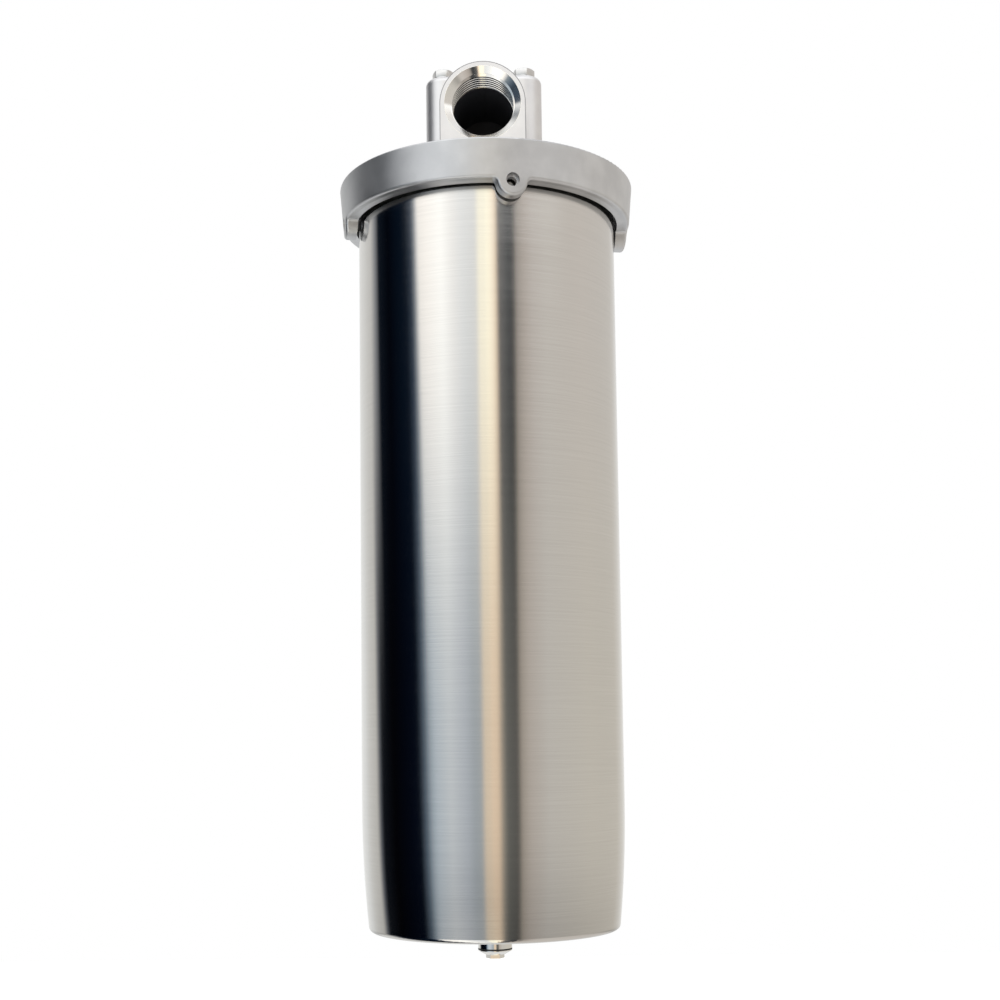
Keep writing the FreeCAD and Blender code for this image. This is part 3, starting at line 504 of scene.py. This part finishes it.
def zincFinish():
    material, sheet = newMaterial("fastenerSteel")
    place = objectPlace(sheet)
    scratches = sheet.noise(place, zinc["scratchScale"], detail=4.0)
    cloud = sheet.noise(place, zinc["cloudScale"])
    normal = sheet.bump(scratches, zinc["scratchStrength"], zinc["scratchDepth"])
    finishMaterial(sheet, normal, Base_Color=shaded(sheet, cloud, zinc), Metallic=1.0,
                   Roughness=zinc["roughness"] + scratches.swing(zinc["scratchRoughness"]))
    return material


sheetSteel = {
    "colour": (0.62, 0.62, 0.61),
    "darker": 0.9,
    "cloudScale": 45.0,
    "roughness": 0.24,
    "cloudRoughness": 0.12,
    "rollScale": (60.0, 60.0, 2600.0),
    "rollStrength": 0.08,
    "rollDepth": 0.00006,
}


def sheetFinish():
    material, sheet = newMaterial("basketSteel")
    place = objectPlace(sheet)
    rolled = sheet.streaks(place, sheetSteel["rollScale"], detail=3.0)
    cloud = sheet.noise(place, sheetSteel["cloudScale"], detail=3.0)
    normal = sheet.bump(rolled, sheetSteel["rollStrength"], sheetSteel["rollDepth"])
    finishMaterial(sheet, normal, Base_Color=shaded(sheet, cloud, sheetSteel), Metallic=1.0,
                   Roughness=sheetSteel["roughness"] + cloud.swing(sheetSteel["cloudRoughness"]))
    return material


# Finishes of the soft and moulded pieces

rubber = {
    "colour": (0.018, 0.018, 0.019, 1.0),
    "dustColour": grey(0.035),
    "dustScale": 250.0,
    "dustSpan": (0.45, 0.85),
    "roughness": 0.52,
    "grainScale": 3000.0,
    "grainStrength": 0.2,
    "grainDepth": 0.00004,
}


def rubberFinish():
    material, sheet = newMaterial("sealRubber")
    place = objectPlace(sheet)
    grain = sheet.noise(place, rubber["grainScale"])
    dust = sheet.noise(place, rubber["dustScale"], detail=3.0)
    tint = sheet.blend(sheet.rise(dust, *rubber["dustSpan"]), rubber["colour"], rubber["dustColour"])
    normal = sheet.bump(grain, rubber["grainStrength"], rubber["grainDepth"])
    finishMaterial(sheet, normal, Base_Color=tint, Roughness=rubber["roughness"])
    return material


# painted shade: the slip washer is near black so the gap under the ring reads dark; the nylon itself
# is pale
shadedSlipNylon = {"colour": (0.045, 0.045, 0.047), "darker": 0.94, "roughness": 0.45}
ringPlastic = {"colour": (0.70, 0.73, 0.77), "darker": 0.94, "roughness": 0.36}
moulding = {
    "flowScale": 38.0,
    "flowRoughness": 0.1,
    "poreScale": 2200.0,
    "poreStrength": 0.08,
    "poreDepth": 0.00004,
}


def mouldedFinish(name, look):
    material, sheet = newMaterial(name)
    place = objectPlace(sheet)
    flow = sheet.noise(place, moulding["flowScale"], detail=3.0)
    pores = sheet.noise(place, moulding["poreScale"])
    normal = sheet.bump(pores, moulding["poreStrength"], moulding["poreDepth"])
    finishMaterial(sheet, normal, Base_Color=shaded(sheet, flow, look),
                   Roughness=look["roughness"] + flow.swing(moulding["flowRoughness"]))
    return material


felt = {
    "colour": (0.80, 0.785, 0.73),
    "darker": 0.82,
    "roughness": 0.95,
    "sheen": 0.3,
    "fibreScale": (900.0, 900.0, 500.0),
    "fibreSpan": (0.25, 0.8),
    "fibreStrength": 0.7,
    "fibreDepth": 0.0004,
    "clumpScale": 120.0,
    "clumpShare": 0.8,
}


def feltFinish():
    material, sheet = newMaterial("bagFelt")
    place = objectPlace(sheet)
    fibres = sheet.streaks(place, felt["fibreScale"], detail=6.0)
    clumps = sheet.noise(place, felt["clumpScale"], detail=4.0)
    height = fibres + clumps * felt["clumpShare"]
    normal = sheet.bump(height, felt["fibreStrength"], felt["fibreDepth"])
    finishMaterial(sheet, normal, Base_Color=shaded(sheet, fibres, felt, felt["fibreSpan"]),
                   Roughness=felt["roughness"], Sheen_Weight=felt["sheen"])
    return material


finishes = {
    "head": headFinish(),
    "ring": ringFinish(),
    "brushed": brushedFinish(),
    "polished": polishedFinish(),
    "fastener": zincFinish(),
    "sheet": sheetFinish(),
    "rubber": rubberFinish(),
    "nylon": mouldedFinish("shadedSlipNylon", shadedSlipNylon),
    "moulded": mouldedFinish("bagRingPlastic", ringPlastic),
    "felt": feltFinish(),
}

dressed = {
    "head": ["head_casting"],
    "ring": ["ring_nut"],
    "brushed": ["sump_shell", "sump_end_cap"],
    "polished": ["drain_socket", "drain_plug", "sump_flange", "basket_seat_ring"],
    "sheet": ["basket_rim", "basket_wall", "basket_bottom", "bag_cover_plate"],
    "rubber": ["head_o_ring", "spigot_o_ring", "drain_gasket"],
    "nylon": ["slip_washer"],
    "moulded": ["bag_ring"],
}


def dressNodes():
    for finish, names in dressed.items():
        for name in names:
            node = frame["nodes"][name]
            node.data.materials.clear()
            node.data.materials.append(finishes[finish])


dressNodes()
print("finishes ready")

# Modelling helpers

mending = {"mergeDistance": 0.000002, "smoothAngle": 35}


def startPiece(name):
    piece = bpy.context.object
    piece.name = name
    piece.data.name = name
    return piece


def dropSelection():
    if bpy.context.object and bpy.context.object.mode != "OBJECT":
        bpy.ops.object.mode_set(mode="OBJECT")
    bpy.ops.object.select_all(action="DESELECT")


def applyModifier(piece, kind, **settings):
    dropSelection()
    bpy.context.view_layer.objects.active = piece
    piece.select_set(True)
    modifier = piece.modifiers.new(kind.lower(), kind)
    for name, value in settings.items():
        setattr(modifier, name, value)
    bpy.ops.object.modifier_apply(modifier=modifier.name)


def bevelEdges(piece, width, angle, segments=2):
    applyModifier(piece, "BEVEL", width=width, segments=segments, limit_method="ANGLE",
                  angle_limit=math.radians(angle))


def tidyPiece(piece, angle=mending["smoothAngle"]):
    dropSelection()
    bpy.context.view_layer.objects.active = piece
    piece.select_set(True)
    bpy.ops.object.mode_set(mode="EDIT")
    bpy.ops.mesh.select_all(action="SELECT")
    bpy.ops.mesh.remove_doubles(threshold=mending["mergeDistance"])
    bpy.ops.mesh.fill_holes(sides=0)
    bpy.ops.mesh.select_all(action="SELECT")
    bpy.ops.mesh.normals_make_consistent(inside=False)
    bpy.ops.object.mode_set(mode="OBJECT")
    bpy.ops.object.transform_apply(location=True, rotation=True, scale=True)
    bpy.ops.object.shade_smooth_by_angle(angle=math.radians(angle))
    piece.select_set(False)


def finishPiece(piece, body, finish, slot, *nodes):
    piece.data.materials.clear()
    piece.data.materials.append(finishes[finish])
    if nodes:
        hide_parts(*nodes)
    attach(piece, body)


# Port threads

thread = {
    "pitch": 0.002309,
    "turns": 6,
    "steps": 72,
    "height": 0.00122,
    "bite": 0.00003,  # how far the ridge's foot sits in the wall
    "start": 0.0452,  # from the axis, so far in that the first turn starts behind the lead-in
    "crest": 0.38,  # of the pitch
    "smoothAngle": 25,
}

leadIn = {  # turned cone between the port's face and the first thread
    "steps": 72,
    "mergeDistance": 0.00001,
    "smoothAngle": 25,
    "face": 0.049,  # from the axis to the port's face
    "section": (  # radius, and depth behind the face
        (0.01898, 0.00002),
        (0.01800, 0.00150),
        (0.01675, 0.00330),
        (0.01595, 0.00215),
    ),
}


def makeThread(name, side):
    dropSelection()
    bpy.ops.mesh.primitive_plane_add(size=1.0, location=(0, side * thread["start"], portLevel))
    piece = startPiece(name)
    foot = portRadius + thread["bite"]
    crest = portRadius - thread["height"]
    half = thread["pitch"] / 2
    bpy.ops.object.mode_set(mode="EDIT")
    bpy.ops.transform.rotate(value=math.pi / 2, orient_axis="Y", center_override=piece.location)
    bpy.ops.object.mode_set(mode="OBJECT")
    for vertex in piece.data.vertices:  # a ridge with its foot in the wall, at the bore's bottom
        isFoot = vertex.co.z < 0
        width = half * (1.0 if isFoot else thread["crest"])
        vertex.co.y = width if vertex.co.y > 0 else -width
        vertex.co.z = -foot if isFoot else -crest
        vertex.co.x = 0
    applyModifier(piece, "SCREW", axis="Y", screw_offset=-side * thread["pitch"],
                  iterations=thread["turns"], steps=thread["steps"], render_steps=thread["steps"],
                  use_merge_vertices=False)
    tidyPiece(piece, thread["smoothAngle"])
    finishPiece(piece, "head", "polished", "cast_steel")


def makeLeadIn(name, side):
    dropSelection()
    bpy.ops.mesh.primitive_circle_add(vertices=4, radius=1.0, fill_type="NGON",
                                      location=(0, side * leadIn["face"], portLevel))
    piece = startPiece(name)
    for vertex, (radius, depth) in zip(piece.data.vertices, leadIn["section"]):
        vertex.co = (0, -side * depth, radius)
    applyModifier(piece, "SCREW", axis="Y", screw_offset=0, iterations=1, steps=leadIn["steps"],
                  render_steps=leadIn["steps"], use_merge_vertices=True,
                  merge_threshold=leadIn["mergeDistance"])
    tidyPiece(piece, leadIn["smoothAngle"])
    finishPiece(piece, "head", "polished", "cast_steel")


makeThread("inletThread", -1)
makeThread("outletThread", 1)
makeLeadIn("inletLeadIn", -1)
makeLeadIn("outletLeadIn", 1)
print("threads ready")

# Bracket bolts and washers

bolt = {
    "across": 0.010,
    "head": 0.004,
    "headEdge": 0.00012,
    "headEdgeAngle": 35,  # bends sharper than this are rounded
    "roundEdgeAngle": 60,  # the same on the shank and the washer
    "shankRadius": 0.003,
    "shankEdge": 0.0003,
    "shankSides": 32,
    "shankGap": 0.0002,  # between the shank and the head
    "chamferFace": 0.0047,  # radius of the flat on top
    "chamferSlope": 1.732,
    "chamferSides": 72,
    "washerBore": 0.0032,
    "washerRadius": 0.0055,
    "washerThickness": 0.001,
    "washerEdge": 0.00018,
    "washerSides": 64,
    "turns": {"front_left": 20.0, "front_right": 17.0, "rear_left": 8.0, "rear_right": 41.0},
}


def makeBolt(place, turnAngle):
    low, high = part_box("bracket_bolt_" + place)
    centre = ((low[0] + high[0]) / 2, (low[1] + high[1]) / 2)
    foot = high[2] - bolt["head"]
    corner = bolt["across"] / math.sqrt(3)
    wide = 2 * corner
    dropSelection()
    bpy.ops.mesh.primitive_cylinder_add(vertices=6, radius=corner, depth=bolt["head"],
                                        location=centre + (foot + bolt["head"] / 2,),
                                        rotation=(0, 0, math.radians(turnAngle)))
    piece = startPiece("bracketBolt_" + place)
    drop = (wide - bolt["chamferFace"]) / bolt["chamferSlope"]
    bpy.ops.mesh.primitive_cone_add(vertices=bolt["chamferSides"], depth=drop + bolt["head"],
                                    radius1=wide + bolt["chamferSlope"] * bolt["head"],
                                    radius2=bolt["chamferFace"],
                                    location=centre + (high[2] - (drop + bolt["head"]) / 2,))
    cutter = bpy.context.object
    applyModifier(piece, "BOOLEAN", operation="INTERSECT", object=cutter, solver="EXACT")
    bpy.data.objects.remove(cutter)
    bevelEdges(piece, bolt["headEdge"], bolt["headEdgeAngle"])
    tidyPiece(piece)
    dropSelection()
    shank = foot - low[2] - bolt["shankGap"]
    bpy.ops.mesh.primitive_cylinder_add(vertices=bolt["shankSides"], radius=bolt["shankRadius"],
                                        depth=shank,
                                        location=centre + (foot + bolt["shankGap"] - shank / 2,))
    stem = bpy.context.object
    bevelEdges(stem, bolt["shankEdge"], bolt["roundEdgeAngle"])
    tidyPiece(stem)
    stem.select_set(True)
    piece.select_set(True)
    bpy.context.view_layer.objects.active = piece
    bpy.ops.object.join()
    finishPiece(piece, "head", "fastener", "fastener_steel", "bracket_bolt_" + place)


def makeWasher(place):
    low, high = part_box("bracket_washer_" + place)
    centre = ((low[0] + high[0]) / 2, (low[1] + high[1]) / 2)
    dropSelection()
    bpy.ops.mesh.primitive_circle_add(vertices=bolt["washerSides"], radius=bolt["washerRadius"],
                                      location=centre + (low[2],))
    piece = startPiece("bracketWasher_" + place)
    bpy.ops.object.mode_set(mode="EDIT")
    bpy.ops.mesh.extrude_edges_move()
    shrink = bolt["washerBore"] / bolt["washerRadius"]
    bpy.ops.transform.resize(value=(shrink, shrink, 1), center_override=piece.location)
    bpy.ops.object.mode_set(mode="OBJECT")
    applyModifier(piece, "SOLIDIFY", thickness=bolt["washerThickness"], offset=0)
    for vertex in piece.data.vertices:
        vertex.co.z += bolt["washerThickness"] / 2
    bevelEdges(piece, bolt["washerEdge"], bolt["roundEdgeAngle"])
    tidyPiece(piece)
    finishPiece(piece, "head", "fastener", "fastener_steel", "bracket_washer_" + place)


for cornerName, cornerTurn in bolt["turns"].items():
    makeBolt(cornerName, cornerTurn)
    makeWasher(cornerName)
print("bracket bolts ready")

# Filter bag

bag = {
    "wall": 0.0016,
    "basketSheet": 0.0012,
    "clearance": 0.0006,  # between bag and basket, with the room for its waves
    "play": 0.0003,
    "rings": 46,
    "around": 96,
    "footRadius": 0.008,
    "footAngle": 60,
    "footSteps": 5,
    "openTop": 1.02,  # foot radii off the top, where the cylinder's rounded lid is cut away
    "waves": 0.0011,
    "waveScale": 0.045,
    "waveLevel": 0.85,  # keeps nearly all of each wave inside the basket
    "smoothAngle": 60,
}


def makeBag():
    low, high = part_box("filter_bag")
    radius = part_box("basket_wall")[1][0] - bag["basketSheet"] - bag["clearance"] - bag["play"]
    height = high[2] - low[2]
    dropSelection()
    bpy.ops.mesh.primitive_cylinder_add(vertices=bag["around"], radius=radius, depth=height,
                                        location=(0, 0, low[2] + height / 2))
    piece = startPiece("filterBag")
    bevelEdges(piece, bag["footRadius"], bag["footAngle"], segments=bag["footSteps"])
    bpy.ops.object.mode_set(mode="EDIT")
    bpy.ops.mesh.select_mode(type="FACE")
    bpy.ops.mesh.select_all(action="DESELECT")
    bpy.ops.object.mode_set(mode="OBJECT")
    for face in piece.data.polygons:
        face.select = face.center.z > height / 2 - bag["footRadius"] * bag["openTop"]
    bpy.ops.object.mode_set(mode="EDIT")
    bpy.ops.mesh.delete(type="FACE")
    for step in range(1, bag["rings"]):
        bpy.ops.mesh.select_all(action="SELECT")
        level = low[2] + height * step / bag["rings"]
        bpy.ops.mesh.bisect(plane_co=(0, 0, level), plane_no=(0, 0, 1))
    bpy.ops.object.mode_set(mode="OBJECT")
    clouds = bpy.data.textures.new("bagWaves", "CLOUDS")
    clouds.noise_scale = bag["waveScale"]
    applyModifier(piece, "DISPLACE", texture=clouds, strength=bag["waves"],
                  mid_level=bag["waveLevel"], texture_coords="LOCAL")
    applyModifier(piece, "SOLIDIFY", thickness=bag["wall"], offset=-1)
    tidyPiece(piece, bag["smoothAngle"])
    finishPiece(piece, "sump", "felt", "bag_felt", "filter_bag")


makeBag()
print("bag ready")
